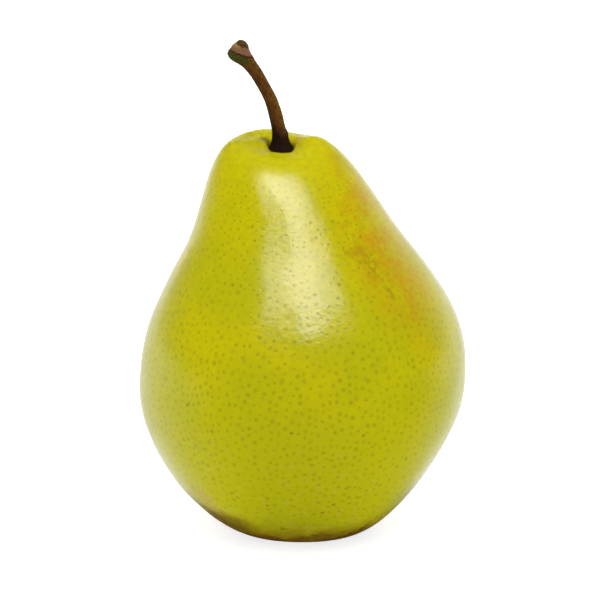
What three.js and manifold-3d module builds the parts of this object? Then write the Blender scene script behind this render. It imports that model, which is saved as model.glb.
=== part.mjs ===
// A green-yellow pear that stands on its base: the fruit, the woody stem sunk in its crown, and the dried
// calyx in the eye underneath. Millimetres, +Z up. The origin is the middle of the spot that the pear
// stands on, +X is to the right and -Y faces the viewer.
import * as THREE from "three";
import { mergeVertices } from "three/addons/utils/BufferGeometryUtils.js";
import Module from "manifold-3d";

const wasm = await Module();
wasm.setup();

// Fruit: heights up from the table, radii out from the fruit's middle line. A reach, drop or rise is how far
// the outline keeps its direction on one side of a station before it turns.
const FRUIT_HEIGHT = 95.9;
const REST_RADIUS = 13;
const BASE_REACH = 11.5;
const BELLY_RADIUS = 39.5;
const BELLY_HEIGHT = 35.5;
const BELLY_DROP = 12.7;
const BELLY_RISE = 13.8;
const NECK_RADIUS = 26.2;
const NECK_HEIGHT = 71;
const NECK_SLOPE = THREE.MathUtils.degToRad(56.6);
const NECK_DROP = 20.4;
const NECK_RISE = 7.9;
const CREST_RADIUS = 8.9;
const CREST_REACH = 7.3;

// Hollow that the stem stands in
const STEM_SOCKET_RADIUS = 3.7;
const STEM_SOCKET_RIM = 92.6;
const STEM_SOCKET_FLOOR = 87.5;
const FUNNEL_REACH = 3.7;
const FUNNEL_RISE = 2;

// Eye under the fruit, with the small socket that the calyx sits in
const EYE_RADIUS = 9.6;
const EYE_DEPTH = 5;
const EYE_REACH = 3.2;
const CALYX_SOCKET_RADIUS = 3.4;
const CALYX_SOCKET_ROOF = 8.5;

// Unevenness: the sway of the middle line from the base to the crown, a slightly oval section, shallow
// lobes round the body, five at the base and five furrows in the eye, and the rise and fall of the crown.
// Turns are in radians, and LEAN_FROM, LEAN_TO and CROWN_FROM are shares of the fruit's height.
const SWAY_X = [0, -4.7, 6.8, -1.05, -6.2];
const LEAN_Y = 2;
const LEAN_FROM = 0.45;
const LEAN_TO = 1.1;
const OVAL = 0.98;
const BODY_LOBE = { count: 3, share: 0.006, turn: 0.9 };
const BASE_LOBE = { count: 5, share: 0.012, turn: 0.3 };
const FURROW = { count: 5, depth: 0.5, turn: 0.3 };
const CROWN_RISES = [
  { count: 2, height: 0.2, turn: 0 },
  { count: 3, height: 0.48, turn: -0.17 },
];
const CROWN_FROM = 0.82;

// Stem: its middle line, its radii at lengths along it, ridges that wind round it, and a knob that starts and
// ends at given lengths, stands out to one side and is cut on a slant
const STEM_ROUTE = [
  new THREE.Vector3(-4.95, 2, 87.8),
  new THREE.Vector3(-4.95, 2.1, 100.65),
  new THREE.Vector3(-7.1, 0.3, 108.3),
  new THREE.Vector3(-15.75, -1.3, 118.6),
];
const STEM_SWELL = [
  new THREE.Vector2(2.5, 0),
  new THREE.Vector2(3.05, 5),
  new THREE.Vector2(2.15, 7.4),
  new THREE.Vector2(1.6, 11.5),
  new THREE.Vector2(1.48, 20),
  new THREE.Vector2(1.63, 28),
  new THREE.Vector2(2.75, 32.3),
  new THREE.Vector2(2.25, 33.8),
];
const STEM_RIDGES = { count: 5, share: 0.03, twist: 0.05 };
const KNOB = { from: 26.5, to: 31.7, shift: -0.12, slant: 0.08 };

// Calyx: a short cup with five dried sepals that spread across the eye
const CALYX_HEIGHT = 8.1;
const CUP_RADIUS = 3.05;
const CUP_LIP = 4.3;
const CUP_BEVEL = 0.4;
const CUP_MOUTH_RADIUS = 1.9;
const CUP_FLOOR_RADIUS = 1.3;
const CUP_HOLLOW_DEPTH = 2.2;
const SEPAL_COUNT = 5;
const SEPAL_ROOT = 2;
const SEPAL_RAISE = 0.3;
const SEPAL_LENGTH = 3.9;
const SEPAL_WIDTH = 3.2;
const SEPAL_TIP_REACH = 1;
const SEPAL_THICKNESS = 0.7;
const SEPAL_DROOP = 3;
const SEPAL_TURN = 0.7 * Math.PI;
const SEPAL_CUPPING = 0.25;

// Fineness
const FRUIT_SIDES = 60;
const CURVE_STEPS = 9;
const STEM_SIDES = 20;
const STEM_STEPS = 36;
const CUP_SIDES = 20;
const SEPAL_STEPS = 6;

const smooth = THREE.MathUtils.smoothstep;

// A value that runs smoothly through its control values as t goes from 0 to 1.
function sway(values, t) {
  let row = values;
  while (row.length > 1) row = row.slice(1).map((v, i) => THREE.MathUtils.lerp(row[i], v, t));
  return row[0];
}

const wave = ({ count, turn }, angle) => Math.cos(count * (angle - turn));

// Moves every point of a geometry by a function of its place.
function shape(geometry, move) {
  const at = geometry.attributes.position;
  const p = new THREE.Vector3();
  for (let i = 0; i < at.count; i++) {
    move(p.fromBufferAttribute(at, i));
    at.setXYZ(i, p.x, p.y, p.z);
  }
  geometry.computeVertexNormals();
  return geometry;
}

// A turned solid about +Z from an outline of (radius, height) points.
const turned = (outline, sides) => new THREE.LatheGeometry(outline, sides).rotateX(Math.PI / 2);

// The fruit's outline as if it were turned: the calyx socket, eye, resting spot, belly, neck, crest, funnel
// and stem socket.
function fruitOutline() {
  const alongNeck = new THREE.Vector2(-Math.cos(NECK_SLOPE), Math.sin(NECK_SLOPE));
  const neck = new THREE.Vector2(NECK_RADIUS, NECK_HEIGHT);
  const belowNeck = neck.clone().addScaledVector(alongNeck, -NECK_DROP);
  const aboveNeck = neck.clone().addScaledVector(alongNeck, NECK_RISE);
  const path = new THREE.Path();
  path.moveTo(0, CALYX_SOCKET_ROOF);
  path.lineTo(CALYX_SOCKET_RADIUS, CALYX_SOCKET_ROOF);
  path.lineTo(CALYX_SOCKET_RADIUS, EYE_DEPTH);
  path.bezierCurveTo(
    CALYX_SOCKET_RADIUS + EYE_REACH,
    EYE_DEPTH,
    EYE_RADIUS - EYE_REACH / 2,
    0,
    EYE_RADIUS,
    0,
  );
  path.lineTo(REST_RADIUS, 0);
  path.bezierCurveTo(
    REST_RADIUS + BASE_REACH,
    0,
    BELLY_RADIUS,
    BELLY_HEIGHT - BELLY_DROP,
    BELLY_RADIUS,
    BELLY_HEIGHT,
  );
  path.bezierCurveTo(
    BELLY_RADIUS,
    BELLY_HEIGHT + BELLY_RISE,
    belowNeck.x,
    belowNeck.y,
    neck.x,
    neck.y,
  );
  path.bezierCurveTo(
    aboveNeck.x,
    aboveNeck.y,
    CREST_RADIUS + CREST_REACH,
    FRUIT_HEIGHT,
    CREST_RADIUS,
    FRUIT_HEIGHT,
  );
  path.bezierCurveTo(
    CREST_RADIUS - FUNNEL_REACH,
    FRUIT_HEIGHT,
    STEM_SOCKET_RADIUS,
    STEM_SOCKET_RIM + FUNNEL_RISE,
    STEM_SOCKET_RADIUS,
    STEM_SOCKET_RIM,
  );
  path.lineTo(STEM_SOCKET_RADIUS, STEM_SOCKET_FLOOR);
  path.lineTo(0, STEM_SOCKET_FLOOR);
  return path.getPoints(CURVE_STEPS);
}

// The middle line's place at a height. It is upright in the eye, and in the stem's hollow it is the stem's.
function middle(radius, z) {
  const t = z / FRUIT_HEIGHT;
  const bent = new THREE.Vector2(sway(SWAY_X, t), LEAN_Y * smooth(t, LEAN_FROM, LEAN_TO));
  if (z <= CALYX_SOCKET_ROOF) return bent.multiplyScalar(smooth(radius, CALYX_SOCKET_RADIUS, REST_RADIUS));
  if (t < CROWN_FROM) return bent;
  const root = new THREE.Vector2(STEM_ROUTE[0].x, STEM_ROUTE[0].y);
  return root.lerp(bent, smooth(radius, STEM_SOCKET_RADIUS, CREST_RADIUS));
}

// Takes a point of the turned fruit to its place on the real, uneven one.
function growUneven(p) {
  const angle = Math.atan2(p.y, p.x);
  const radius = Math.hypot(p.x, p.y);
  const t = p.z / FRUIT_HEIGHT;
  const line = middle(radius, p.z);
  const lobes =
    BODY_LOBE.share * wave(BODY_LOBE, angle) * smooth(t, 0.1, 0.4) +
    BASE_LOBE.share * wave(BASE_LOBE, angle) * (1 - smooth(t, 0.05, 0.5));
  const crown = smooth(t, CROWN_FROM, 1) * smooth(radius, STEM_SOCKET_RADIUS, CREST_RADIUS);
  const furrow = smooth(p.z, 0, EYE_DEPTH / 2) * smooth(radius, CALYX_SOCKET_RADIUS, EYE_RADIUS);
  const inEye = radius < REST_RADIUS && p.z < EYE_DEPTH;
  for (const rise of CROWN_RISES) p.z += rise.height * wave(rise, angle) * crown;
  if (inEye) p.z += FURROW.depth * wave(FURROW, angle) * furrow;
  p.x = p.x * (1 + lobes) + line.x;
  p.y = p.y * (1 + lobes) * OVAL + line.y;
}

const makeFruit = () => shape(turned(fruitOutline(), FRUIT_SIDES), growUneven);

// A straight turned stem, bent along its route, with its knob widened to one side and cut on a slant.
function makeStem() {
  const length = STEM_SWELL.at(-1).y;
  const outline = new THREE.SplineCurve(STEM_SWELL).getPoints(STEM_STEPS);
  outline.unshift(new THREE.Vector2(0, 0));
  outline.push(new THREE.Vector2(0, length));
  const route = new THREE.CubicBezierCurve3(...STEM_ROUTE);
  const toViewer = new THREE.Vector3(0, -1, 0);
  return shape(turned(outline, STEM_SIDES), (p) => {
    const angle = Math.atan2(p.y, p.x);
    const ridge = 1 + STEM_RIDGES.share * Math.cos(STEM_RIDGES.count * angle - STEM_RIDGES.twist * p.z);
    const knob = smooth(p.z, KNOB.from, KNOB.to);
    const across = p.x * ridge + KNOB.shift * knob;
    const back = p.y * ridge;
    const along = p.z + KNOB.slant * across * knob;
    const u = THREE.MathUtils.clamp(along / length, 0, 1);
    const tangent = route.getTangentAt(u);
    const right = new THREE.Vector3().crossVectors(tangent, toViewer).normalize();
    const away = new THREE.Vector3().crossVectors(tangent, right);
    p.copy(route.getPointAt(u))
      .addScaledVector(tangent, along - u * length)
      .addScaledVector(right, across)
      .addScaledVector(away, back);
  });
}

// A closed mesh as a solid that can be joined or cut.
function solidOf(geometry) {
  const bare = geometry.clone();
  bare.deleteAttribute("normal");
  bare.deleteAttribute("uv");
  const merged = mergeVertices(bare);
  return new wasm.Manifold(
    new wasm.Mesh({
      numProp: 3,
      vertProperties: merged.attributes.position.array,
      triVerts: new Uint32Array(merged.index.array),
    }),
  );
}

function geometryOf(solid) {
  const { vertProperties, triVerts } = solid.getMesh();
  return new THREE.BufferGeometry()
    .setAttribute("position", new THREE.BufferAttribute(vertProperties, 3))
    .setIndex(new THREE.BufferAttribute(triVerts, 1));
}

// One sepal, pointing along +X from the cup's middle, drooping and curling up again at its tip.
function makeSepal() {
  const outline = new THREE.Shape();
  const half = SEPAL_WIDTH / 2;
  const tip = SEPAL_ROOT + SEPAL_LENGTH;
  const waist = SEPAL_ROOT + SEPAL_LENGTH / 2;
  outline.moveTo(SEPAL_ROOT, -half);
  outline.bezierCurveTo(waist, -half, tip - SEPAL_TIP_REACH, -half / 2, tip, 0);
  outline.bezierCurveTo(tip - SEPAL_TIP_REACH, half / 2, waist, half, SEPAL_ROOT, half);
  const blade = new THREE.ExtrudeGeometry(outline, {
    depth: SEPAL_THICKNESS,
    bevelEnabled: false,
    curveSegments: SEPAL_STEPS,
  });
  return shape(blade, (p) => {
    const out = (p.x - SEPAL_ROOT) / SEPAL_LENGTH;
    p.z += SEPAL_CUPPING * p.y * p.y - SEPAL_DROOP * Math.sin(out * SEPAL_TURN);
  });
}

// The calyx as it sits in the eye: root up in its socket, open side and sepals down.
function makeCalyx() {
  const cup = turned(
    [
      new THREE.Vector2(0, CUP_LIP + CUP_HOLLOW_DEPTH),
      new THREE.Vector2(CUP_FLOOR_RADIUS, CUP_LIP + CUP_HOLLOW_DEPTH),
      new THREE.Vector2(CUP_MOUTH_RADIUS, CUP_LIP),
      new THREE.Vector2(CUP_RADIUS - CUP_BEVEL, CUP_LIP),
      new THREE.Vector2(CUP_RADIUS, CUP_LIP + CUP_BEVEL),
      new THREE.Vector2(CUP_RADIUS, CALYX_HEIGHT),
      new THREE.Vector2(0, CALYX_HEIGHT),
    ],
    CUP_SIDES,
  );
  const sepal = makeSepal().translate(0, 0, CUP_LIP + SEPAL_RAISE);
  let joined = solidOf(cup);
  for (let i = 0; i < SEPAL_COUNT; i++) {
    const turn = FURROW.turn + (i * 2 * Math.PI) / SEPAL_COUNT;
    joined = joined.add(solidOf(sepal.clone().rotateZ(turn)));
  }
  return geometryOf(joined);
}

// Waxy yellow-green skin, dark brown bark, and grey-brown dry sepal
const skin = new THREE.MeshStandardMaterial({ color: 0xbfb71e, roughness: 0.35 });
const bark = new THREE.MeshStandardMaterial({ color: 0x4d2e14, roughness: 0.75 });
const driedSepal = new THREE.MeshStandardMaterial({ color: 0x3a2a1c, roughness: 0.9 });

function piece(name, geometry, material) {
  const mesh = new THREE.Mesh(geometry, material);
  mesh.name = name;
  return mesh;
}

const pear = new THREE.Group();
pear.add(piece("fruit", makeFruit(), skin));
pear.add(piece("stem", makeStem(), bark));
pear.add(piece("calyx", makeCalyx(), driedSepal));

export default pear;
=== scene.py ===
"""A green-yellow pear that stands on its base, with waxy dotted skin, a woody stem and a dried calyx.

Sizes and places are in millimetres until a mesh or a light is made. +X is to the right, -Y faces the viewer
and +Z is up. A turn is an angle about +Z, in radians, from +X towards +Y.
"""

import math
import random

import bpy
import numpy as np
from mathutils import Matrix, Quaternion, Vector, kdtree, noise


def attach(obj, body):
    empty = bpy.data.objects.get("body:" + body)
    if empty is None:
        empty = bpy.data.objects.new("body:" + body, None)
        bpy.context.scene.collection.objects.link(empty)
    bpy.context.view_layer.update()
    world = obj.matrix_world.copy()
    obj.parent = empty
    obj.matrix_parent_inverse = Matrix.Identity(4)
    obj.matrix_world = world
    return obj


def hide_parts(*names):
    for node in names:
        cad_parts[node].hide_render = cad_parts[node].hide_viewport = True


MM = 0.001

# Fruit, as in the frame: heights up from the table, radii out from the middle line
FRUIT_HEIGHT = 95.9
REST_RADIUS = 13.0
BASE_REACH = 11.5
BELLY_RADIUS = 39.5
BELLY_HEIGHT = 35.5
BELLY_DROP = 12.7
BELLY_RISE = 13.8
NECK_RADIUS = 26.2
NECK_HEIGHT = 71.0
NECK_SLOPE = math.radians(56.6)
NECK_DROP = 20.4
NECK_RISE = 7.9
CREST_RADIUS = 8.9
CREST_REACH = 7.3

# Hollow that the stem stands in
STEM_SOCKET_RADIUS = 3.15
STEM_SOCKET_RIM = 92.9
STEM_SOCKET_FLOOR = 87.5
FUNNEL_REACH = 5.2
FUNNEL_RISE = 2.0

# Eye under the fruit
EYE_RADIUS = 9.6
EYE_DEPTH = 5.0
EYE_REACH = 3.2
CALYX_SOCKET_RADIUS = 3.2
CALYX_SOCKET_ROOF = 8.5

# Unevenness: sway and lean of the middle line, oval section, lobes, furrows and the crown's rise and fall
SWAY_X = (0.0, -4.7, 6.8, -1.05, -6.2)
LEAN_Y = 2.0
LEAN_FROM = 0.45
LEAN_TO = 1.1
OVAL = 0.98
BODY_LOBE = (3, 0.006, 0.9)
BASE_LOBE = (5, 0.012, 0.3)
FURROW = (5, 0.5, 0.3)
CROWN_RISES = ((2, 0.2, 0.0), (3, 0.48, -0.17))
CROWN_FROM = 0.82

# The crown's low front, over which the hollow shows
LIP_DROP = 1.95
LIP_HEIGHT = 95.1
LIP_REACH = 20.0
# The front of the neck is a little fuller than the outline: how much, at which height, and over how far
NECK_FILL = 0.75
NECK_FILL_AT = 68.5
NECK_FILL_REACH = 9.0

# Dents of the skin: the size of a wave and how far it stands in or out
DENTS = ((24.0, 0.18), (9.0, 0.11), (4.0, 0.035))
DENT_INSET = 0.06

# Dots of the skin: the gap between two at the belly and at the crown, and their radii
DOT_GAP = 1.6
CROWN_DOT_GAP = 1.25
DOT_RADIUS = 0.48
CROWN_DOT_RADIUS = 0.32
DOT_TRIES = 60000
PAIR_SHARE = 0.18

# Stem: its middle line, its radii at lengths along it, and its knob
STEM_ROUTE = ((-4.95, 2.0, 87.8), (-4.95, 2.1, 100.65), (-7.1, 0.3, 108.3), (-15.75, -1.3, 118.6))
STEM_SWELL = (
    (2.5, 0.0),
    (3.05, 5.0),
    (2.15, 7.4),
    (1.6, 11.5),
    (1.48, 20.0),
    (1.63, 28.0),
    (2.75, 32.3),
    (2.25, 33.8),
)
STEM_LENGTH = STEM_SWELL[-1][1]
KNOB_FROM = 26.5
KNOB_TO = 31.7
KNOB_SHIFT = -0.12
KNOB_SLANT = 0.08

# The knob's torn end: how steeply its bands run across it, and where the pale one and the moss lie
BAND_SLOPE = 1.85
BAND_FROM = 32.65
BAND_TO = 35.85
MOSS_FROM = 28.5
STEM_BUMP_AT = 9.3

# Calyx
CALYX_TOP = 8.1
CUP_RADIUS = 3.05
CUP_LIP = 4.3
CUP_FLOOR = 6.5
SEPAL_COUNT = 5
SEPAL_ROOT = 2.0
SEPAL_LENGTH = 3.9
SEPAL_HALF_WIDTH = 1.6
SEPAL_DROOP = 3.0
THREAD_COUNT = 11

# Fineness
FRUIT_SIDES = 320
RING_STEP = 0.56
STEM_SIDES = 96
STEM_STEPS = 300
CUP_SIDES = 80
SEPAL_STEPS = 30
SEPAL_SIDES = 28
THREAD_STEPS = 16
THREAD_SIDES = 8

# Camera: the photograph is a square frame, seen from a little above
CAMERA_ELEVATION = math.radians(16)
CAMERA_DISTANCE = 700.0
CAMERA_TARGET = (-0.55, 0.0, 56.56)
FRAME_WIDTH = 144.0
SENSOR_WIDTH = 36.0

# The table: its overexposure, the light that it throws up (strips in metres), and its shade round the pear
FLOOR_GLOW = 0.77
BOUNCE_GAP = 0.018
BOUNCE_WIDTH = 0.566
BOUNCE_LENGTH = 0.634
BOUNCE_RADIANCE = 0.85
SHADE_FROM = 16.0
SHADE_TO = 44.0


def smooth(x, start, end):
    """0 before start, 1 after end, and an even S between them."""
    s = np.clip((x - start) / (end - start), 0, 1)
    return s * s * (3 - 2 * s)


def bezier(points, t):
    """The point at t, from 0 to 1, of a Bezier curve with any number of control points."""
    row = [np.asarray(p, float) * np.ones_like(t) for p in points]
    while len(row) > 1:
        row = [a + (b - a) * t for a, b in zip(row, row[1:])]
    return row[0]


def curve_2d(points, steps=200):
    """A Bezier curve as a dense line of (radius, height)."""
    t = np.linspace(0, 1, steps)[:, None]
    return bezier([np.array(p, float) for p in points], t)


def along_line(line, spacing):
    """The same line with its points an even spacing apart."""
    gaps = np.linalg.norm(np.diff(line, axis=0), axis=1)
    run = np.concatenate([[0], np.cumsum(gaps)])
    count = max(2, round(run[-1] / spacing))
    at = np.linspace(0, run[-1], count + 1)
    return np.stack([np.interp(at, run, line[:, k]) for k in range(line.shape[1])], 1)


def softened(line, spacing, width):
    """A line of evenly spaced points with its corners rounded over about that width."""
    half = int(3 * width / spacing)
    weights = np.exp(-0.5 * (np.arange(-half, half + 1) * spacing / width) ** 2)
    weights /= weights.sum()
    padded = np.vstack([np.repeat(line[:1], half, 0), line, np.repeat(line[-1:], half, 0)])
    return np.stack([np.convolve(padded[:, k], weights, "valid") for k in range(2)], 1)


def fruit_profile():
    """(radius, height) from the calyx socket's roof, round the outside, to the stem socket's floor."""
    neck = np.array([NECK_RADIUS, NECK_HEIGHT])
    up_neck = np.array([-math.cos(NECK_SLOPE), math.sin(NECK_SLOPE)])
    belly = (BELLY_RADIUS, BELLY_HEIGHT)
    crest = (CREST_RADIUS, FRUIT_HEIGHT)
    eye_rim = (EYE_RADIUS, 0)
    rest_rim = (REST_RADIUS, 0)
    calyx_rim = (CALYX_SOCKET_RADIUS, EYE_DEPTH)
    stem_rim = (STEM_SOCKET_RADIUS, STEM_SOCKET_RIM)
    into_funnel = (STEM_SOCKET_RADIUS, STEM_SOCKET_RIM + FUNNEL_RISE)
    pieces = [
        [(0, CALYX_SOCKET_ROOF), (CALYX_SOCKET_RADIUS, CALYX_SOCKET_ROOF)],
        [(CALYX_SOCKET_RADIUS, CALYX_SOCKET_ROOF), calyx_rim],
        [calyx_rim, (CALYX_SOCKET_RADIUS + EYE_REACH, EYE_DEPTH), (EYE_RADIUS - EYE_REACH / 2, 0), eye_rim],
        [eye_rim, rest_rim],
        [rest_rim, (REST_RADIUS + BASE_REACH, 0), (BELLY_RADIUS, BELLY_HEIGHT - BELLY_DROP), belly],
        [belly, (BELLY_RADIUS, BELLY_HEIGHT + BELLY_RISE), neck - up_neck * NECK_DROP, neck],
        [neck, neck + up_neck * NECK_RISE, (CREST_RADIUS + CREST_REACH, FRUIT_HEIGHT), crest],
        [crest, (CREST_RADIUS - FUNNEL_REACH, FRUIT_HEIGHT), into_funnel, stem_rim],
        [stem_rim, (STEM_SOCKET_RADIUS, STEM_SOCKET_FLOOR)],
        [(STEM_SOCKET_RADIUS, STEM_SOCKET_FLOOR), (0, STEM_SOCKET_FLOOR)],
    ]
    spacing = 0.1
    line = along_line(np.vstack([curve_2d(p) for p in pieces]), spacing)
    crisp = softened(line, spacing, 0.35)
    soft = softened(line, spacing, 2.5)
    height = line[:, 1]
    outside = smooth(height, 12, 20) * (1 - smooth(height, 80, 88)) * (line[:, 0] > CREST_RADIUS)
    joined = crisp + (soft - crisp) * outside[:, None]
    joined[0] = line[0]
    joined[-1] = line[-1]
    return along_line(joined, RING_STEP)


def wave(lobe, angle):
    count, size, turn = lobe
    return size * np.cos(count * (angle - turn))


def middle(radius, z):
    """The middle line's place at a height: upright in the eye, and the stem's own in the stem's hollow."""
    t = z / FRUIT_HEIGHT
    x = bezier([np.full_like(t, v) for v in SWAY_X], t)
    y = LEAN_Y * smooth(t, LEAN_FROM, LEAN_TO)
    in_eye = z <= CALYX_SOCKET_ROOF
    eye_share = np.where(in_eye, smooth(radius, CALYX_SOCKET_RADIUS, REST_RADIUS), 1)
    crown_share = np.where(t >= CROWN_FROM, smooth(radius, STEM_SOCKET_RADIUS, CREST_RADIUS), 1)
    x = STEM_ROUTE[0][0] + (x * eye_share - STEM_ROUTE[0][0]) * crown_share
    y = STEM_ROUTE[0][1] + (y * eye_share - STEM_ROUTE[0][1]) * crown_share
    return x, y


def grown(radius, height, angle):
    """The point of the uneven fruit for a radius and height of its outline and a turn about it."""
    t = height / FRUIT_HEIGHT
    x0, y0 = middle(radius, height)
    lobes = wave(BODY_LOBE, angle) * smooth(t, 0.1, 0.4) + wave(BASE_LOBE, angle) * (1 - smooth(t, 0.05, 0.5))
    crown = smooth(t, CROWN_FROM, 1) * smooth(radius, STEM_SOCKET_RADIUS, CREST_RADIUS)
    furrow = smooth(height, 0, EYE_DEPTH / 2) * smooth(radius, CALYX_SOCKET_RADIUS, EYE_RADIUS)
    in_eye = (radius < REST_RADIUS) & (height < EYE_DEPTH)
    z = height + sum(wave(rise, angle) for rise in CROWN_RISES) * crown
    z = z + np.where(in_eye, wave(FURROW, angle) * furrow, 0)
    front = smooth(-np.sin(angle), 0, 0.85)
    above_rim = np.clip((height - STEM_SOCKET_RIM) / (LIP_HEIGHT - STEM_SOCKET_RIM), 0, 1)
    outer_lip = (1 - smooth(radius, CREST_RADIUS, LIP_REACH)) * smooth(t, CROWN_FROM, 0.97)
    lip = np.where(radius < CREST_RADIUS, above_rim, outer_lip)
    z = z - LIP_DROP * front * lip
    fill = NECK_FILL * front * np.exp(-0.5 * ((height - NECK_FILL_AT) / NECK_FILL_REACH) ** 2)
    x = x0 + radius * np.cos(angle) * (1 + lobes)
    y = y0 + radius * np.sin(angle) * (1 + lobes) * OVAL - fill
    return np.stack(np.broadcast_arrays(x, y, z), -1)


def normals_of(grid):
    """The unit outward normals of a grid of rings round +Z."""
    around = np.roll(grid, -1, 1) - np.roll(grid, 1, 1)
    up = np.gradient(grid, axis=0)
    n = np.cross(around, up)
    return n / (np.linalg.norm(n, axis=-1, keepdims=True) + 1e-9)


def noise_at(points, wave_size, seed):
    """Smooth noise from -1 to 1 at each point, with waves of about that size."""
    shift = Vector((seed * 17.3, seed * 5.1, seed * 11.7))
    flat = points.reshape(-1, 3)
    values = [noise.noise(Vector(p) / wave_size + shift) for p in flat]
    return np.array(values).reshape(points.shape[:-1])


def add_mesh(name, points, faces):
    """A smooth-shaded mesh object from points in millimetres."""
    mesh = bpy.data.meshes.new(name)
    mesh.from_pydata((np.asarray(points) * MM).tolist(), [], faces)
    mesh.validate()
    mesh.shade_smooth()
    piece = bpy.data.objects.new(name, mesh)
    bpy.context.scene.collection.objects.link(piece)
    return piece


def keep_vectors(piece, name, values, domain="POINT"):
    """Keeps a vector for each point or face of a mesh, for its material to read."""
    held = piece.data.attributes.new(name, "FLOAT_VECTOR", domain)
    held.data.foreach_set("vector", np.asarray(values, np.float32).ravel())


def ring_faces(rings, sides):
    """Quads between rings of points, and a fan to a pole point at each end."""
    faces = []
    for i in range(rings - 1):
        a = i * sides
        b = a + sides
        for j in range(sides):
            k = (j + 1) % sides
            faces.append((a + j, a + k, b + k, b + j))
    first = rings * sides
    last = (rings - 1) * sides
    for j in range(sides):
        k = (j + 1) % sides
        faces.append((first, k, j))
        faces.append((last + j, last + k, first + 1))
    return faces


def dot_sites(centres, areas):
    """Places for the skin's dots: evenly scattered over the faces, closer at the crown, some in pairs."""
    rng = random.Random(12)
    heights = centres[:, 2]
    gaps = DOT_GAP + (CROWN_DOT_GAP - DOT_GAP) * smooth(heights, 55, 88)
    order = rng.choices(range(len(centres)), weights=areas.tolist(), k=DOT_TRIES)
    cell = DOT_GAP
    taken = {}
    sites = []

    def is_free(p, gap):
        key = [int(v // cell) for v in p]
        for i in (-1, 0, 1):
            for j in (-1, 0, 1):
                for k in (-1, 0, 1):
                    for q in taken.get((key[0] + i, key[1] + j, key[2] + k), ()):
                        if (p - q).length < gap:
                            return False
        return True

    def put(p):
        taken.setdefault(tuple(int(v // cell) for v in p), []).append(p)
        sites.append(p)

    for face in order:
        p = Vector(centres[face])
        if not is_free(p, gaps[face] * rng.uniform(0.85, 1.25)):
            continue
        put(p)
        if rng.random() < PAIR_SHARE:
            beside = Vector([rng.uniform(-1, 1) for _ in range(3)]).normalized()
            put(p + beside * rng.uniform(0.6, 0.9))
    return sites


def add_dots(fruit):
    """Gives each face of the fruit its nearest dot: the dot's place, and its radius, depth and redness."""
    rng = random.Random(5)
    faces = fruit.data.polygons
    centres = np.empty(len(faces) * 3, np.float32)
    areas = np.empty(len(faces), np.float32)
    faces.foreach_get("center", centres)
    faces.foreach_get("area", areas)
    centres = centres.reshape(-1, 3) / MM
    sites = dot_sites(centres, areas)
    tree = kdtree.KDTree(len(sites))
    looks = []
    for i, p in enumerate(sites):
        tree.insert(p, i)
        size = DOT_RADIUS + (CROWN_DOT_RADIUS - DOT_RADIUS) * float(smooth(p.z, 50, 85))
        size *= rng.uniform(0.7, 1.3)
        depth = rng.uniform(0.45, 1.0)
        red = 1.0 if rng.random() < 0.012 else 0.0
        looks.append((size, depth, red))
    tree.balance()
    near = [tree.find(Vector(c)) for c in centres]
    keep_vectors(fruit, "dot_place", [tuple(hit[0]) for hit in near], "FACE")
    keep_vectors(fruit, "dot_look", [looks[hit[1]] for hit in near], "FACE")


def make_fruit():
    profile = fruit_profile()
    rings = profile[1:-1]
    angle = np.linspace(0, 2 * math.pi, FRUIT_SIDES, endpoint=False)[None, :]
    radius = rings[:, :1]
    height = rings[:, 1:]
    grid = grown(radius, height, angle)
    outside = np.where(radius > REST_RADIUS, smooth(height, 1.0, 9.0), 0)
    crown = smooth(radius, STEM_SOCKET_RADIUS + 1, CREST_RADIUS)
    outside = np.where(height > FRUIT_HEIGHT / 2, np.minimum(outside + 1, 1) * crown, outside)
    push = sum(size * noise_at(grid, wave_size, 3 + k) for k, (wave_size, size) in enumerate(DENTS))
    grid = grid + normals_of(grid) * ((push - DENT_INSET) * outside)[..., None]
    poles = [grown(profile[k, 0] * np.ones(1), profile[k, 1] * np.ones(1), np.zeros(1))[0] for k in (0, -1)]
    points = np.vstack([grid.reshape(-1, 3), poles])
    fruit = add_mesh("pear_fruit", points, ring_faces(len(rings), FRUIT_SIDES))
    add_dots(fruit)
    return fruit


def swell_at(lengths):
    """The stem's radius at lengths along it, on a smooth curve through STEM_SWELL."""
    p = np.array(STEM_SWELL)
    last = len(p) - 1
    f = np.linspace(0, last, 400)
    k = np.minimum(f.astype(int), last - 1)
    w = (f - k)[:, None]
    a, b, c, d = (p[np.clip(k + n, 0, last)] for n in (-1, 0, 1, 2))
    into = (c - a) / 2
    out = (d - b) / 2
    line = (2 * b - 2 * c + into + out) * w**3 + (3 * c - 3 * b - 2 * into - out) * w**2 + into * w + b
    return np.interp(lengths, line[:, 1], line[:, 0])


def stem_frame(u):
    """Places, tangents and sideways directions of the stem's middle line at shares of its length."""
    t = np.linspace(0, 1, 600)[:, None]
    line = bezier(STEM_ROUTE, t)
    slope = np.gradient(line, axis=0)
    run = np.concatenate([[0], np.cumsum(np.linalg.norm(np.diff(line, axis=0), axis=1))])
    at = np.stack([np.interp(u * run[-1], run, line[:, k]) for k in range(3)], -1)
    tangent = np.stack([np.interp(u * run[-1], run, slope[:, k]) for k in range(3)], -1)
    tangent /= np.linalg.norm(tangent, axis=-1, keepdims=True)
    right = np.cross(tangent, np.array([0.0, -1.0, 0.0]))
    right /= np.linalg.norm(right, axis=-1, keepdims=True)
    return at, tangent, right, np.cross(tangent, right)


def bent_stem(straight):
    """Takes points of the straight stem to their places on the bent one."""
    across, back, along = (straight[..., k] for k in range(3))
    knob = smooth(along, KNOB_FROM, KNOB_TO)
    across = across + KNOB_SHIFT * knob
    along = along + KNOB_SLANT * across * knob
    u = np.clip(along / STEM_LENGTH, 0, 1)
    at, tangent, right, away = stem_frame(u)
    over = (along - u * STEM_LENGTH)[..., None]
    return at + tangent * over + right * across[..., None] + away * back[..., None]


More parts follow.
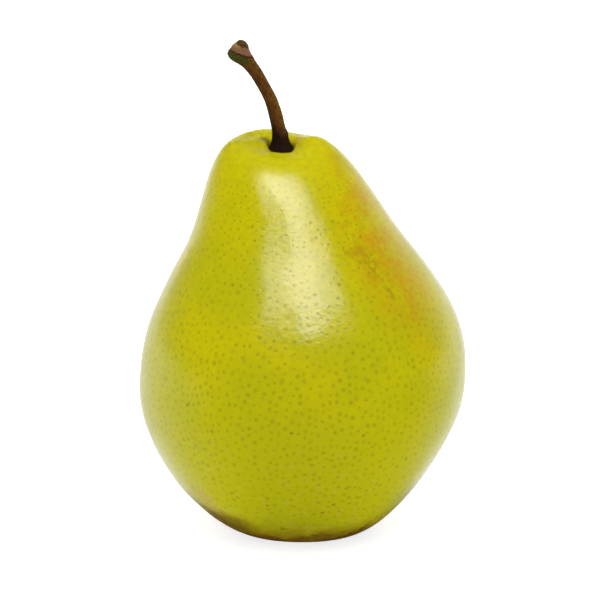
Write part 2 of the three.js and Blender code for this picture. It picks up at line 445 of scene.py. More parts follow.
def torn_knob(straight):
    """How far the skin of the knob stands in or out: a sunk pale band, and moss that stands proud beside it."""
    across, back, along = (straight[..., k] for k in range(3))
    level = along + BAND_SLOPE * across + noise_at(straight, 0.7, 8) * 0.5
    band = smooth(level, BAND_FROM - 0.15, BAND_FROM + 0.15) * (1 - smooth(level, BAND_TO - 0.2, BAND_TO + 0.2))
    moss = smooth(level, MOSS_FROM - 0.4, MOSS_FROM + 0.4) * (1 - smooth(level, BAND_FROM - 0.3, BAND_FROM))
    moss = moss * (1 - smooth(across, 0.7, 1.1)) * smooth(along, 28.6, 29.4)
    tufts = 0.1 + 0.22 * noise_at(straight, 0.35, 9)
    return (moss * tufts - 0.16 * band) * smooth(along, KNOB_FROM, KNOB_FROM + 2)


def make_stem():
    along = np.linspace(0, STEM_LENGTH, STEM_STEPS)[:, None]
    angle = np.linspace(0, 2 * math.pi, STEM_SIDES, endpoint=False)[None, :]
    radius = swell_at(along)
    out = smooth(along, 5, 8)
    ridge = 1 + 0.03 * np.cos(5 * angle - 0.05 * along) * out
    straight = np.stack(np.broadcast_arrays(radius * np.cos(angle), radius * np.sin(angle), along), -1)
    grain = noise_at(straight * np.array([1, 1, 0.12]), 0.55, 1) * (0.03 + 0.06 * out)
    lumps = noise_at(straight * np.array([1, 1, 0.5]), 1.8, 2) * 0.14 * out
    radius = radius - 0.06 * smooth(along, 30, 32)
    bump = 0.28 * np.exp(-(((along - STEM_BUMP_AT) / 0.9) ** 2)) * np.clip(np.cos(angle), 0, 1) ** 2
    swell = (radius + grain + lumps + bump + torn_knob(straight)) * ridge
    straight = np.stack(np.broadcast_arrays(swell * np.cos(angle), swell * np.sin(angle), along), -1)
    cap = 8
    shares = np.arange(1, cap + 1) / (cap + 0.5)
    caps = []
    for share in shares:
        ring = straight[-1] * np.array([math.sqrt(1 - share**2), math.sqrt(1 - share**2), 1])
        ring[:, 2] += 0.42 * share + noise_at(ring, 1.2, 4) * 0.25 * share
        caps.append(ring)
    straight = np.concatenate([straight, np.array(caps)])
    poles = np.array([[0, 0, 0], [0, 0, STEM_LENGTH + 0.5]])
    points = np.vstack([bent_stem(straight).reshape(-1, 3), bent_stem(poles)])
    stem = add_mesh("pear_stem", points, ring_faces(len(straight), STEM_SIDES))
    keep_vectors(stem, "straight", np.vstack([straight.reshape(-1, 3), poles]))
    return stem


def cup_points():
    """The dried cup: a ribbed wall with a rounded lip and a hollow that opens downwards."""
    section = [(2.7, CALYX_TOP), (CUP_RADIUS, CALYX_TOP - 0.6), (CUP_RADIUS, CUP_LIP + 0.5)]
    section += [(2.75, CUP_LIP), (2.2, CUP_LIP), (1.85, CUP_LIP + 0.5), (1.5, 5.6), (1.25, CUP_FLOOR)]
    line = along_line(softened(along_line(np.array(section, float), 0.05), 0.05, 0.12), 0.16)
    angle = np.linspace(0, 2 * math.pi, CUP_SIDES, endpoint=False)[None, :]
    radius = line[:, :1] * (1 - 0.03 * smooth(-line[:, 1:], -7.6, -6.6) * (1 + np.cos(10 * angle)))
    ring = np.stack(np.broadcast_arrays(radius * np.cos(angle), radius * np.sin(angle), line[:, 1:]), -1)
    ring[..., 2] += 0.12 * noise_at(ring, 0.9, 6) * smooth(-ring[..., 2], -7.5, -6)
    poles = np.array([[0, 0, CALYX_TOP], [0, 0, CUP_FLOOR]])
    return np.vstack([ring.reshape(-1, 3), poles]), ring_faces(len(line), CUP_SIDES)


def sepal_points(index, rng):
    """One dried sepal: a pointed leaf that leaves the lip, bends down and curls at its tip and edges."""
    turn = FURROW[2] + index * 2 * math.pi / SEPAL_COUNT
    length = SEPAL_LENGTH * rng.uniform(0.88, 1.0)
    droop = SEPAL_DROOP * rng.uniform(0.8, 1.0)
    lean = rng.uniform(-0.35, 0.35)
    out = np.linspace(0, 1, SEPAL_STEPS)[:, None]
    side = np.linspace(0, 2 * math.pi, SEPAL_SIDES, endpoint=False)[None, :]
    half = SEPAL_HALF_WIDTH * (0.62 + 0.6 * out - 1.2 * out**2.2) * smooth(-out, -1.04, -0.8) ** 0.5 + 0.05
    across = half * np.cos(side)
    thick = (0.26 - 0.16 * out) * np.sin(side) * (1 - 0.55 * np.cos(side) ** 2)
    x = SEPAL_ROOT + length * out + 0 * side
    y = across + lean * out**2 * 2
    fold = 0.24 * across**2 + 0.1 * np.cos(5 * across / SEPAL_HALF_WIDTH)
    z = CUP_LIP + 0.35 + fold - droop * np.sin(0.7 * math.pi * out) + thick
    leaf = np.stack(np.broadcast_arrays(x, y, z), -1)
    crumple = noise_at(leaf, 0.8, 20 + index)[..., None] * np.array([0.05, 0.12, 0.14])
    leaf = leaf + crumple * out[..., None]
    c, s = math.cos(turn), math.sin(turn)
    leaf = np.stack([leaf[..., 0] * c - leaf[..., 1] * s, leaf[..., 0] * s + leaf[..., 1] * c, leaf[..., 2]], -1)
    poles = np.array([leaf[0].mean(0), leaf[-1].mean(0)])
    return np.vstack([leaf.reshape(-1, 3), poles]), ring_faces(SEPAL_STEPS, SEPAL_SIDES)


def thread_points(rng, turn, foot):
    """One dried stamen: a bent thread with a small knob at its end, from the hollow's floor to below the lip."""
    share = np.linspace(0, 1, THREAD_STEPS)[:, None]
    side = np.linspace(0, 2 * math.pi, THREAD_SIDES, endpoint=False)[None, :]
    reach = rng.uniform(-0.25, 0.35)
    bend = rng.uniform(-0.5, 0.5)
    low = rng.uniform(2.9, 4.0)
    radius = 0.11 + 0.13 * np.exp(-(((share - 0.93) / 0.07) ** 2))
    radius = radius * np.sqrt(np.clip(1 - share**24, 0.02, 1))
    x = foot + reach * share + radius * np.cos(side)
    y = bend * share**2 + radius * np.sin(side)
    z = CUP_FLOOR + 0.1 + (low - CUP_FLOOR) * share + 0 * side
    c, s = math.cos(turn), math.sin(turn)
    rings = np.stack(np.broadcast_arrays(x * c - y * s, x * s + y * c, z), -1)
    poles = np.array([rings[0].mean(0), rings[-1].mean(0)])
    return np.vstack([rings.reshape(-1, 3), poles]), ring_faces(THREAD_STEPS, THREAD_SIDES)


def make_calyx():
    rng = random.Random(31)
    shells = [cup_points()]
    shells += [sepal_points(k, rng) for k in range(SEPAL_COUNT)]
    for k in range(THREAD_COUNT):
        shells.append(thread_points(rng, k * 2.4, rng.uniform(0.35, 0.95)))
    points = []
    faces = []
    for shell, shell_quads in shells:
        shift = sum(len(p) for p in points)
        points.append(shell)
        faces += [tuple(i + shift for i in quad) for quad in shell_quads]
    return add_mesh("pear_calyx", np.vstack(points), faces)


def add_node(tree, kind, inputs=None, **settings):
    """Adds a shader node, sets it, and fills its inputs with values or links."""
    node = tree.nodes.new(kind)
    for key, value in settings.items():
        setattr(node, key, value)
    for key, value in (inputs or {}).items():
        if isinstance(value, bpy.types.NodeSocket):
            tree.links.new(value, node.inputs[key])
        else:
            node.inputs[key].default_value = value
    return node


def calc(tree, operation, *values):
    """The result of one sum on numbers."""
    return add_node(tree, "ShaderNodeMath", dict(enumerate(values)), operation=operation).outputs[0]


def product(tree, *values):
    """All the numbers multiplied."""
    result = values[0]
    for value in values[1:]:
        result = calc(tree, "MULTIPLY", result, value)
    return result


def vector_calc(tree, operation, *values):
    """The result of one sum on vectors: a vector."""
    return add_node(tree, "ShaderNodeVectorMath", dict(enumerate(values)), operation=operation).outputs[0]


def vector_number(tree, operation, *values):
    """The result of one sum on vectors: a number."""
    return add_node(tree, "ShaderNodeVectorMath", dict(enumerate(values)), operation=operation).outputs[1]


def scaled(tree, vector, *shares):
    """A vector with each part multiplied."""
    return vector_calc(tree, "MULTIPLY", vector, tuple(shares))


def parts_of(tree, vector):
    """The three numbers of a vector."""
    return add_node(tree, "ShaderNodeSeparateXYZ", {0: vector}).outputs


def fade(tree, value, start, end, low=0.0, high=1.0):
    """low before start, high after end, and an even S between them."""
    inputs = {"Value": value, "From Min": start, "From Max": end, "To Min": low, "To Max": high}
    return add_node(tree, "ShaderNodeMapRange", inputs, interpolation_type="SMOOTHSTEP").outputs[0]


def blend(tree, share, first, second, kind="MIX"):
    """A colour between two others."""
    inputs = {"Factor": share, 6: first, 7: second}
    return add_node(tree, "ShaderNodeMix", inputs, data_type="RGBA", blend_type=kind).outputs[2]


def clouds(tree, place, size, detail=2.0, roughness=0.5, distortion=0.0):
    """Noise from 0 to 1 with patches of about that size in millimetres."""
    inputs = {"Vector": place, "Scale": 1 / size, "Detail": detail, "Roughness": roughness, "Distortion": distortion}
    return add_node(tree, "ShaderNodeTexNoise", inputs).outputs[0]


def noise_vector(tree, place, size):
    """Noise from -0.5 to 0.5 in each direction, with patches of about that size in millimetres."""
    waves = add_node(tree, "ShaderNodeTexNoise", {"Vector": place, "Scale": 1 / size, "Detail": 1.0}).outputs[1]
    return vector_calc(tree, "SUBTRACT", waves, (0.5, 0.5, 0.5))


def kept(tree, name):
    """A vector that the mesh keeps at its points or faces."""
    return add_node(tree, "ShaderNodeAttribute", attribute_name=name).outputs["Vector"]


def place_mm(tree):
    """The place on the piece in millimetres."""
    local = add_node(tree, "ShaderNodeTexCoord").outputs["Object"]
    return add_node(tree, "ShaderNodeVectorMath", {0: local, "Scale": 1 / MM}, operation="SCALE").outputs[0]


def new_material(name):
    """A material with one glossy shader, and its tree and shader."""
    material = bpy.data.materials.new(name)
    material.use_nodes = True
    tree = material.node_tree
    return material, tree, tree.nodes["Principled BSDF"]


def srgb(red, green, blue):
    """A colour given as 0 to 255 screen values, as the shader wants it."""
    linear = [((v / 255 + 0.055) / 1.055) ** 2.4 if v > 10 else v / 255 / 12.92 for v in (red, green, blue)]
    return (*linear, 1.0)


def oval(tree, place, centre, direction, half_length, half_width, soft=0.6):
    """1 inside an egg-shaped region and 0 outside, with an edge that is soft over that share of it."""
    gap = vector_calc(tree, "SUBTRACT", place, centre)
    along = vector_number(tree, "DOT_PRODUCT", gap, tuple(Vector(direction).normalized()))
    whole = vector_number(tree, "LENGTH", gap)
    side = calc(tree, "SUBTRACT", product(tree, whole, whole), product(tree, along, along))
    square = calc(tree, "ADD", product(tree, side, half_width**-2), product(tree, along, along, half_length**-2))
    return fade(tree, calc(tree, "SQRT", calc(tree, "MAXIMUM", square, 0)), 1, 1 - soft)


def skin_dots(tree, place):
    """The skin's dots, 0 to 1, and the redness of each."""
    moved = vector_calc(tree, "ADD", place, scaled(tree, noise_vector(tree, place, 0.5), 0.4, 0.4, 0.4))
    apart = vector_number(tree, "DISTANCE", moved, kept(tree, "dot_place"))
    size, depth, red = parts_of(tree, kept(tree, "dot_look"))[:3]
    dot = fade(tree, calc(tree, "DIVIDE", apart, size), 1.4, 0.1)
    return product(tree, dot, depth), red


# Marks of the skin: where each lies, which way it runs, half its length and width, and how strong it is
BLUSH = (
    ((20.0, -15.0, 70.5), (0.5, -0.38, -0.78), 31.0, 17.0, 1.0),
    ((12.5, -5.5, 88.0), (0.6, -0.3, -0.74), 15.0, 9.0, 0.5),
)
# Painted light and shade in the stem's hollow: a warm golden glow on its right wall and darker olive shade on its left
# wall
HOLLOW_LIGHT_AND_SHADE = (
    ((-0.6, 3.2, 94.0), 2.6, (200, 168, 2)),
    ((-9.0, 3.4, 94.2), 2.4, (132, 114, 4)),
)
SMUDGE = ((14.5, -19.8, 71.5), (0.5, -0.2, -0.84), 10.0, 4.5)
STREAKS = (((9.8, -20.1, 74.4), 2.4), ((16.3, -19.4, 70.2), 4.4), ((20.3, -21.7, 64.4), 2.6))
SCUFF = ((-22.6, -21.3, 13.0), (0.35, 0.0, -0.94), 8.0, 5.0)
LOW_LEFT = ((-19.0, -18.0, 6.5), (0.6, -0.8, -0.2), 18.0, 8.2)
BASE_MARKS = (
    ((-4.9, -24.4, 7.0), (0.0, 0.55, -0.84), 2.6, 0.8),
    ((-3.4, -24.6, 6.8), (0.2, 0.55, -0.84), 2.2, 0.6),
    ((2.9, -22.8, 5.2), (0.0, 0.55, -0.84), 1.8, 1.1),
    ((14.5, -17.6, 4.6), (-0.6, 0.4, -0.5), 5.0, 1.8),
    ((6.0, -21.4, 4.4), (1.0, 0.2, 0.0), 3.2, 0.8),
)
SPOTS = (
    ((1.1, -34.2, 56.5), 0.5, (172, 100, 12)),
    ((-8.2, -31.9, 17.5), 0.5, (150, 85, 20)),
    ((-8.2, -30.5, 15.2), 0.55, (140, 80, 20)),
    ((-26.8, -27.7, 39.1), 0.55, (120, 95, 25)),
    ((-2.5, -38.6, 35.8), 0.5, (135, 95, 25)),
    ((14.1, -36.5, 34.5), 0.55, (140, 90, 25)),
    ((4.7, -29.2, 13.0), 0.6, (130, 90, 25)),
    ((25.4, -29.9, 43.7), 0.5, (130, 100, 30)),
    ((-11.6, -18.2, 79.3), 0.6, (152, 116, 16)),
    ((5.8, -20.9, 75.9), 0.6, (166, 112, 14)),
)


def ground_colour(tree, place):
    """The skin's green-yellow in patches, yellower and lighter towards the crown and greener and darker towards the
    base, partly its own tone and partly painted light and shade; also the painted light and shade in the stem's
    hollow.
    """
    height = parts_of(tree, place)[2]
    patches = fade(tree, clouds(tree, place, 15, 3), 0.35, 0.65)
    colour = blend(tree, patches, srgb(173, 170, 12), srgb(187, 177, 8))
    # Partly painted light and shade: lighter and yellower towards the crown, darker and greener towards the base
    colour = blend(tree, fade(tree, height, 60, 98), colour, srgb(196, 186, 6))
    colour = blend(tree, fade(tree, height, 54, 28, 0, 0.85), colour, srgb(168, 165, 14))
    mottle = clouds(tree, place, 5, 4, 0.6)
    colour = blend(tree, fade(tree, mottle, 0.48, 0.7, 0, 0.32), colour, srgb(164, 168, 10))
    pale = product(tree, fade(tree, clouds(tree, place, 2.6, 4, 0.7), 0.5, 0.7), fade(tree, height, 44, 14, 0, 0.62))
    colour = blend(tree, pale, colour, srgb(186, 178, 62))
    fine = clouds(tree, place, 1.3, 3, 0.6)
    colour = blend(tree, fade(tree, fine, 0.38, 0.68, 0, 0.36), colour, srgb(160, 158, 20))
    # Paints the light and shade inside the stem's hollow
    for centre, reach, tint in HOLLOW_LIGHT_AND_SHADE:
        colour = blend(tree, oval(tree, place, centre, (0, 0, 1), reach, reach, 0.6), colour, srgb(*tint))
    return colour


def blushed(tree, place, colour):
    """Adds the tan blush high on the right, its smudge and its thin brown streaks."""
    patch = fade(tree, clouds(tree, place, 4.5, 5, 0.7), 0.38, 0.62)
    speckle = fade(tree, clouds(tree, place, 1.2, 3, 0.6), 0.3, 0.65, 0.55, 1.0)
    share = product(tree, calc(tree, "ADD", product(tree, patch, 0.7), 0.25), speckle)
    for centre, direction, half_length, half_width, strength in BLUSH:
        region = oval(tree, place, centre, direction, half_length, half_width, 0.8)
        colour = blend(tree, product(tree, region, share, strength), colour, srgb(186, 140, 16))
    smudge = product(tree, oval(tree, place, *SMUDGE, 0.8), patch, 0.5)
    colour = blend(tree, smudge, colour, srgb(158, 122, 14))
    ripples = calc(tree, "ABSOLUTE", calc(tree, "SUBTRACT", clouds(tree, place, 2.4, 3, 0.6), 0.5))
    ridges = fade(tree, ripples, 0.1, 0.0)
    for centre, reach in STREAKS:
        streak = product(tree, oval(tree, place, centre, (0.5, -0.3, -0.8), reach, reach * 0.5), ridges)
        colour = blend(tree, product(tree, streak, 0.65), colour, srgb(148, 108, 14))
    return colour


def russeted(tree, place, colour):
    """Adds the brown russet round the base, its darker marks and the scuffed patch, with painted shade in the darkest
    brown along the bottom edge and low on the left. Also gives how rough it is.
    """
    height = parts_of(tree, place)[2]
    grainy = clouds(tree, place, 0.9, 4, 0.7)
    ragged = calc(tree, "SUBTRACT", clouds(tree, place, 5, 5, 0.65), 0.5)
    edge = calc(tree, "ADD", height, product(tree, ragged, 10))
    base = product(tree, fade(tree, edge, 10.5, 3.5), fade(tree, grainy, 0.34, 0.62, 0.35, 1.0))
    olive_brown = blend(tree, grainy, srgb(112, 80, 16), srgb(146, 122, 22))
    colour = blend(tree, product(tree, base, 0.9), colour, olive_brown)
    # Partly russet and partly painted shade: darkest brown along the very bottom edge, where the fruit turns under
    rim = product(tree, fade(tree, edge, 6.2, 2.4), 0.85)
    colour = blend(tree, rim, colour, srgb(98, 56, 16))

    scuff = product(tree, oval(tree, place, *SCUFF, 0.7), fade(tree, grainy, 0.42, 0.56))
    colour = blend(tree, product(tree, scuff, 0.7), colour, srgb(168, 142, 88))

    wavy = vector_calc(tree, "ADD", place, scaled(tree, noise_vector(tree, place, 3), 3, 3, 3))
    # Partly russet and partly painted shade: a dark brown patch low on the left, towards the underside
    low_left = product(tree, oval(tree, wavy, *LOW_LEFT, 0.8), fade(tree, grainy, 0.3, 0.58, 0.45, 1.0))
    colour = blend(tree, low_left, colour, blend(tree, grainy, srgb(58, 32, 6), srgb(108, 78, 16)))
    for mark in BASE_MARKS:
        ink = product(tree, oval(tree, wavy, *mark, 0.9), 0.9)
        colour = blend(tree, ink, colour, srgb(76, 46, 14))
    rough = calc(tree, "MAXIMUM", low_left, calc(tree, "MAXIMUM", base, scuff))
    return colour, rough


def skin_colour(tree, place):
    """The skin's own colour, without its dots, and how russeted it is."""
    colour = blushed(tree, place, ground_colour(tree, place))
    for centre, radius, tint in SPOTS:
        spot = oval(tree, place, centre, (0, 0, 1), radius, radius * 1.2, 0.9)
        colour = blend(tree, spot, colour, srgb(*tint))
    return russeted(tree, place, colour)


def skin_material():
    material, tree, shader = new_material("pear_skin")
    place = place_mm(tree)
    colour, russet = skin_colour(tree, place)
    dots, red = skin_dots(tree, place)
    dots = product(tree, dots, fade(tree, russet, 0.2, 0.8, 1.0, 0.25))
    dot_colour = blend(tree, red, srgb(134, 133, 16), srgb(112, 72, 14))
    colour = blend(tree, product(tree, dots, 0.76), colour, dot_colour)
    tree.links.new(colour, shader.inputs["Base Color"])

    roughness = calc(tree, "ADD", product(tree, dots, 0.08), product(tree, russet, 0.3))
    matt_crown = fade(tree, parts_of(tree, place)[2], 82, 96, 0.18, 0.26)
    tree.links.new(calc(tree, "ADD", roughness, matt_crown), shader.inputs["Roughness"])
    shader.inputs["IOR"].default_value = 1.5
    shader.inputs["Subsurface Weight"].default_value = 0.12
    shader.inputs["Subsurface Radius"].default_value = (1.0, 0.7, 0.1)
    shader.inputs["Subsurface Scale"].default_value = 0.002

    peel = product(tree, clouds(tree, place, 1.5, 2), 0.055)
    grain = product(tree, clouds(tree, place, 0.6, 1), 0.015)
    wrinkles = product(tree, clouds(tree, scaled(tree, place, 0.6, 0.6, 1.2), 1.0, 2), 0.034)
    pits = product(tree, dots, -0.02)
    heights = calc(tree, "ADD", calc(tree, "ADD", peel, grain), calc(tree, "ADD", wrinkles, pits))
    heights = product(tree, heights, fade(tree, parts_of(tree, place)[2], 84, 92, 1.0, 0.2))
    bump = add_node(tree, "ShaderNodeBump", {"Height": heights, "Distance": MM, "Strength": 1.0})
    tree.links.new(bump.outputs[0], shader.inputs["Normal"])
    return material


def knob_colour(tree, straight, colour):
    """Adds the torn end of the knob: a pale band with a dark edge, moss beside it and a dark cap over it."""
    across, back, along = parts_of(tree, straight)[:3]
    wavy = calc(tree, "SUBTRACT", clouds(tree, straight, 0.7, 3, 0.6), 0.5)
    level = calc(tree, "ADD", calc(tree, "ADD", along, product(tree, across, BAND_SLOPE)), product(tree, wavy, 1.6))
    fine = clouds(tree, straight, 0.3, 3, 0.6)
    on_knob = fade(tree, along, KNOB_FROM + 1.5, KNOB_FROM + 2.5)

    ragged = calc(tree, "ADD", across, product(tree, wavy, 1.5))
    moss = product(tree, fade(tree, level, MOSS_FROM - 0.3, MOSS_FROM + 0.2), fade(tree, ragged, 0.7, 0.4), on_knob)
    colour = blend(tree, moss, colour, blend(tree, fade(tree, fine, 0.4, 0.65), srgb(48, 50, 16), srgb(80, 82, 26)))
    edge = product(tree, fade(tree, level, BAND_FROM - 0.95, BAND_FROM - 0.6), on_knob)
    colour = blend(tree, edge, colour, srgb(56, 30, 16))
    band = product(tree, fade(tree, level, BAND_FROM - 0.1, BAND_FROM + 0.1), on_knob)
    colour = blend(tree, band, colour, blend(tree, fade(tree, fine, 0.35, 0.7), srgb(112, 76, 50), srgb(146, 108, 80)))
    pale = product(tree, fade(tree, level, BAND_TO - 1.3, BAND_TO - 1.0), fade(tree, across, 1.2, 0.4), on_knob)
    colour = blend(tree, pale, colour, srgb(150, 128, 66))
    cap = product(tree, fade(tree, level, BAND_TO - 0.15, BAND_TO + 0.05), on_knob)
    colour = blend(tree, cap, colour, blend(tree, fade(tree, fine, 0.4, 0.6), srgb(62, 38, 18), srgb(96, 66, 28)))
    line = product(tree, cap, fade(tree, level, BAND_TO + 0.5, BAND_TO + 0.7), fade(tree, level, BAND_TO + 1.3, BAND_TO + 1.0))
    return blend(tree, product(tree, line, 0.8), colour, srgb(44, 50, 22))


def stem_material():
    material, tree, shader = new_material("pear_bark")
    straight = kept(tree, "straight")
    across, back, along = parts_of(tree, straight)[:3]
    streaks = clouds(tree, scaled(tree, straight, 1, 1, 0.2), 0.45, 4, 0.65)
    blotches = clouds(tree, scaled(tree, straight, 1, 1, 0.5), 1.4, 3, 0.6)
    flecks = clouds(tree, scaled(tree, straight, 1, 1, 0.6), 0.35, 2, 0.6)
    colour = blend(tree, fade(tree, streaks, 0.3, 0.7), srgb(58, 34, 14), srgb(98, 62, 22))
    colour = blend(tree, fade(tree, blotches, 0.45, 0.7, 0, 0.6), colour, srgb(104, 72, 22))
    # Painted light and shade: the right side of the stem is painted lighter, with its pale flecks, as if lit, and the
    # left side is painted darker, as if in shade.
    lit_side = product(tree, fade(tree, across, -0.2, 1.4), fade(tree, flecks, 0.45, 0.65, 0, 0.7))
    colour = blend(tree, lit_side, colour, srgb(146, 104, 26))
    colour = blend(tree, fade(tree, across, 0.1, -1.4, 0, 0.6), colour, srgb(46, 26, 12))
    # Partly the bark's own dark foot and partly painted shade: near-black where the stem rises from the hollow,
    # reaching higher on its left side.
    ragged = calc(tree, "ADD", calc(tree, "ADD", along, product(tree, blotches, 6)), product(tree, across, 0.9))
    colour = blend(tree, fade(tree, ragged, 16.5, 12.0, 0, 0.95), colour, srgb(20, 6, 4))
    colour = knob_colour(tree, straight, colour)
    tree.links.new(colour, shader.inputs["Base Color"])
    shader.inputs["Roughness"].default_value = 0.75
    shader.inputs["Specular IOR Level"].default_value = 0.1
    heights = calc(tree, "ADD", product(tree, streaks, 0.25), product(tree, flecks, 0.12))
    bump = add_node(tree, "ShaderNodeBump", {"Height": heights, "Distance": MM, "Strength": 1.0})
    tree.links.new(bump.outputs[0], shader.inputs["Normal"])
    return material


def calyx_material():
    material, tree, shader = new_material("pear_sepal")
    place = place_mm(tree)
    blotches = clouds(tree, place, 1.2, 4, 0.65)
    fibres = clouds(tree, scaled(tree, place, 1, 1, 0.35), 0.25, 3, 0.6)
    colour = blend(tree, fade(tree, blotches, 0.35, 0.65), srgb(58, 38, 22), srgb(112, 82, 48))
    colour = blend(tree, fade(tree, fibres, 0.5, 0.75, 0, 0.6), colour, srgb(150, 122, 80))
    # Painted shade: darker deep in the cup, where it sinks into the eye
    colour = blend(tree, fade(tree, parts_of(tree, place)[2], 4.6, 6.2), colour, srgb(48, 34, 20))
    tree.links.new(colour, shader.inputs["Base Color"])
    shader.inputs["Roughness"].default_value = 0.85
    shader.inputs["Specular IOR Level"].default_value = 0.25
    heights = calc(tree, "ADD", product(tree, blotches, 0.12), product(tree, fibres, 0.08))
    bump = add_node(tree, "ShaderNodeBump", {"Height": heights, "Distance": MM, "Strength": 1.0})
    tree.links.new(bump.outputs[0], shader.inputs["Normal"])
    return material


def make_camera():
    camera = bpy.data.objects.new("camera", bpy.data.cameras.new("camera"))
    bpy.context.scene.collection.objects.link(camera)
    target = Vector(CAMERA_TARGET) * MM
    back = Vector((0, -math.cos(CAMERA_ELEVATION), math.sin(CAMERA_ELEVATION)))
    camera.location = target + back * CAMERA_DISTANCE * MM
    camera.rotation_euler = (-back).to_track_quat("-Z", "Y").to_euler()
    camera.data.sensor_width = SENSOR_WIDTH
    camera.data.lens = SENSOR_WIDTH * CAMERA_DISTANCE / FRAME_WIDTH
    camera.data.clip_start = 0.01
    bpy.context.scene.camera = camera


# Soft box: each part's azimuth and elevation seen from the pear, its roll, width and height in metres, radiance
KEY_DISTANCE = 0.9
KEY_PANELS = (
    ("key_wide", 11, 60.8, 17, 0.60, 0.64, 5.0),
    ("key_core", 1, 60.3, 18, 0.34, 0.67, 3.2),
    ("key_left", -29, 49.8, 8, 0.34, 0.40, 4.2),
)


def add_panel(name, azimuth, elevation, roll, width, height, radiance):
    """A soft box that faces the pear. Azimuth 0 is the viewer's side and 90 is the right."""
    light = bpy.data.lights.new(name, "AREA")
    light.shape = "RECTANGLE"
    light.size = width
    light.size_y = height
    light.energy = radiance * math.pi * width * height
    panel = bpy.data.objects.new(name, light)
    bpy.context.scene.collection.objects.link(panel)
    a = math.radians(azimuth)
    e = math.radians(elevation)
    back = Vector((math.sin(a) * math.cos(e), -math.cos(a) * math.cos(e), math.sin(e)))
    panel.location = Vector(CAMERA_TARGET) * MM + back * KEY_DISTANCE
    facing = (-back).to_track_quat("-Z", "Y") @ Quaternion((0, 0, 1), math.radians(roll))
    panel.rotation_euler = facing.to_euler()
    return panel


def make_key():
    """The tilted soft box, brightest in its middle, that shows as the pear's highlight."""
    for name, *sizes in KEY_PANELS:
        panel = add_panel(name, *sizes)
        panel.data.color = (0.88, 0.84, 1.0)
        panel.visible_diffuse = False


def add_sun(name, azimuth, elevation, spread, strength):
    """Soft light from afar, from a round patch of sky that is spread degrees wide. It isn't seen in the gloss."""
    light = bpy.data.lights.new(name, "SUN")
    light.angle = math.radians(spread)
    light.energy = strength * math.pi
    light.cycles.use_multiple_importance_sampling = False
    sun = bpy.data.objects.new(name, light)
    bpy.context.scene.collection.objects.link(sun)
    a = math.radians(azimuth)
    e = math.radians(elevation)
    back = Vector((math.sin(a) * math.cos(e), -math.cos(a) * math.cos(e), math.sin(e)))
    sun.rotation_euler = (-back).to_track_quat("-Z", "Y").to_euler()
    sun.visible_glossy = False


def add_bounce(name, turn):
    """Light that the table throws up from one side of the pear, but not from the pear's own shade."""
    light = bpy.data.lights.new(name, "AREA")
    light.shape = "RECTANGLE"
    light.size = BOUNCE_LENGTH
    light.size_y = BOUNCE_WIDTH
    light.energy = BOUNCE_RADIANCE * math.pi * BOUNCE_LENGTH * BOUNCE_WIDTH
    light.cycles.use_multiple_importance_sampling = False
    bounce = bpy.data.objects.new(name, light)
    bpy.context.scene.collection.objects.link(bounce)
    away = BOUNCE_GAP + BOUNCE_WIDTH / 2
    beside = (BOUNCE_LENGTH - BOUNCE_WIDTH) / 2
    c, s = math.cos(turn), math.sin(turn)
    bounce.location = (away * s + beside * c, -away * c + beside * s, 0.0005)
    bounce.rotation_euler = (math.pi, 0, turn)
    bounce.visible_camera = False
    bounce.visible_glossy = False


def make_fill():
    """Even light from all round, and a little more from overhead."""
    for k in range(4):
        add_sun(f"fill_{k}", 45 + 90 * k, 14, 150, 0.46)
        add_bounce(f"bounce_{k}", math.radians(90 * k))
    add_sun("overhead", 0, 86, 70, 0.48)


def make_world():
    """White to the camera. The gloss shows a low bright sweep beside and behind, and a dark room in front."""
    world = bpy.data.worlds.new("studio")
    bpy.context.scene.world = world
    world.use_nodes = True
    world.cycles_visibility.diffuse = False
    tree = world.node_tree
    background = tree.nodes["Background"]
    way = add_node(tree, "ShaderNodeTexCoord").outputs["Generated"]
    x, y, z = parts_of(tree, way)[:3]
    behind = fade(tree, calc(tree, "SUBTRACT", y, product(tree, x, 0.14)), 0.05, 0.75)
    below_sky = fade(tree, calc(tree, "SUBTRACT", z, product(tree, x, 0.25)), 0.5, -0.15)
    sweep = product(tree, below_sky, calc(tree, "ADD", 0.82, product(tree, x, 0.1)))
    seen = product(tree, behind, calc(tree, "ADD", sweep, 0.06))
    background.inputs["Color"].default_value = (1, 1, 1, 1)
    to_camera = add_node(tree, "ShaderNodeLightPath").outputs["Is Camera Ray"]
    tree.links.new(fade(tree, to_camera, 0, 1, seen, 1.0), background.inputs["Strength"])


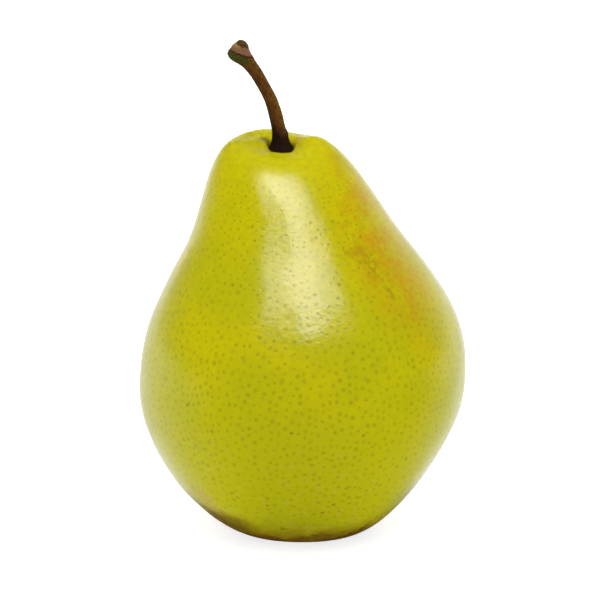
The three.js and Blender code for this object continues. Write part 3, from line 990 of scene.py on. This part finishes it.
def floor_in_gloss(tree):
    """The floor's brightness in the pear's gloss: dark in front and near the pear, bright behind and beside it."""
    place = add_node(tree, "ShaderNodeTexCoord").outputs["Object"]
    away = vector_number(tree, "LENGTH", place)
    x, y = parts_of(tree, vector_calc(tree, "NORMALIZE", place))[:2]
    onset = fade(tree, away, 0.07, 0.18, -0.85, -0.45)
    behind = fade(tree, calc(tree, "SUBTRACT", y, product(tree, x, 0.15)), onset, 0.6)
    out_of_shade = fade(tree, away, SHADE_FROM * MM, SHADE_TO * MM)
    return product(tree, behind, out_of_shade, calc(tree, "ADD", 1.05, product(tree, x, 0.06)))


def make_floor():
    """A plain pale table, overexposed as in the photograph."""
    mesh = bpy.data.meshes.new("floor")
    half = 4.0
    mesh.from_pydata([(-half, -half, 0), (half, -half, 0), (half, half, 0), (-half, half, 0)], [], [(0, 1, 2, 3)])
    floor = bpy.data.objects.new("floor", mesh)
    bpy.context.scene.collection.objects.link(floor)
    material, tree, shader = new_material("floor_white")
    shader.inputs["Base Color"].default_value = (0.6, 0.6, 0.6, 1)
    shader.inputs["Roughness"].default_value = 1.0
    shader.inputs["Specular IOR Level"].default_value = 0.0
    shader.inputs["Emission Color"].default_value = (1, 1, 1, 1)
    shader.inputs["Emission Strength"].default_value = FLOOR_GLOW
    rays = add_node(tree, "ShaderNodeLightPath").outputs
    mirrored = product(tree, rays["Is Glossy Ray"], floor_in_gloss(tree))
    dark = add_node(tree, "ShaderNodeEmission", {"Strength": mirrored}).outputs[0]
    both = add_node(tree, "ShaderNodeMixShader", {0: rays["Is Camera Ray"], 1: dark, 2: shader.outputs[0]})
    tree.links.new(both.outputs[0], tree.nodes["Material Output"].inputs["Surface"])
    mesh.materials.append(material)


def dress(piece, material, node):
    piece.data.materials.append(material)
    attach(piece, "root")
    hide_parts(node)


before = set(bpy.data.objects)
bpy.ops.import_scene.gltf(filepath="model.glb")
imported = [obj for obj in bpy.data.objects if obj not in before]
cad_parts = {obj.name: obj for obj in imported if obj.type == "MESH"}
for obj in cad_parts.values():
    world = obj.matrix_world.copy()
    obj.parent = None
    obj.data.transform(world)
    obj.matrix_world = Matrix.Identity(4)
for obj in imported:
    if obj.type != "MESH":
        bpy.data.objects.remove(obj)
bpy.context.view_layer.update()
bpy.context.scene.view_settings.view_transform = "Standard"

make_camera()
make_world()
make_fill()
make_key()
make_floor()

dress(make_fruit(), skin_material(), "fruit")
dress(make_stem(), stem_material(), "stem")
dress(make_calyx(), calyx_material(), "calyx")
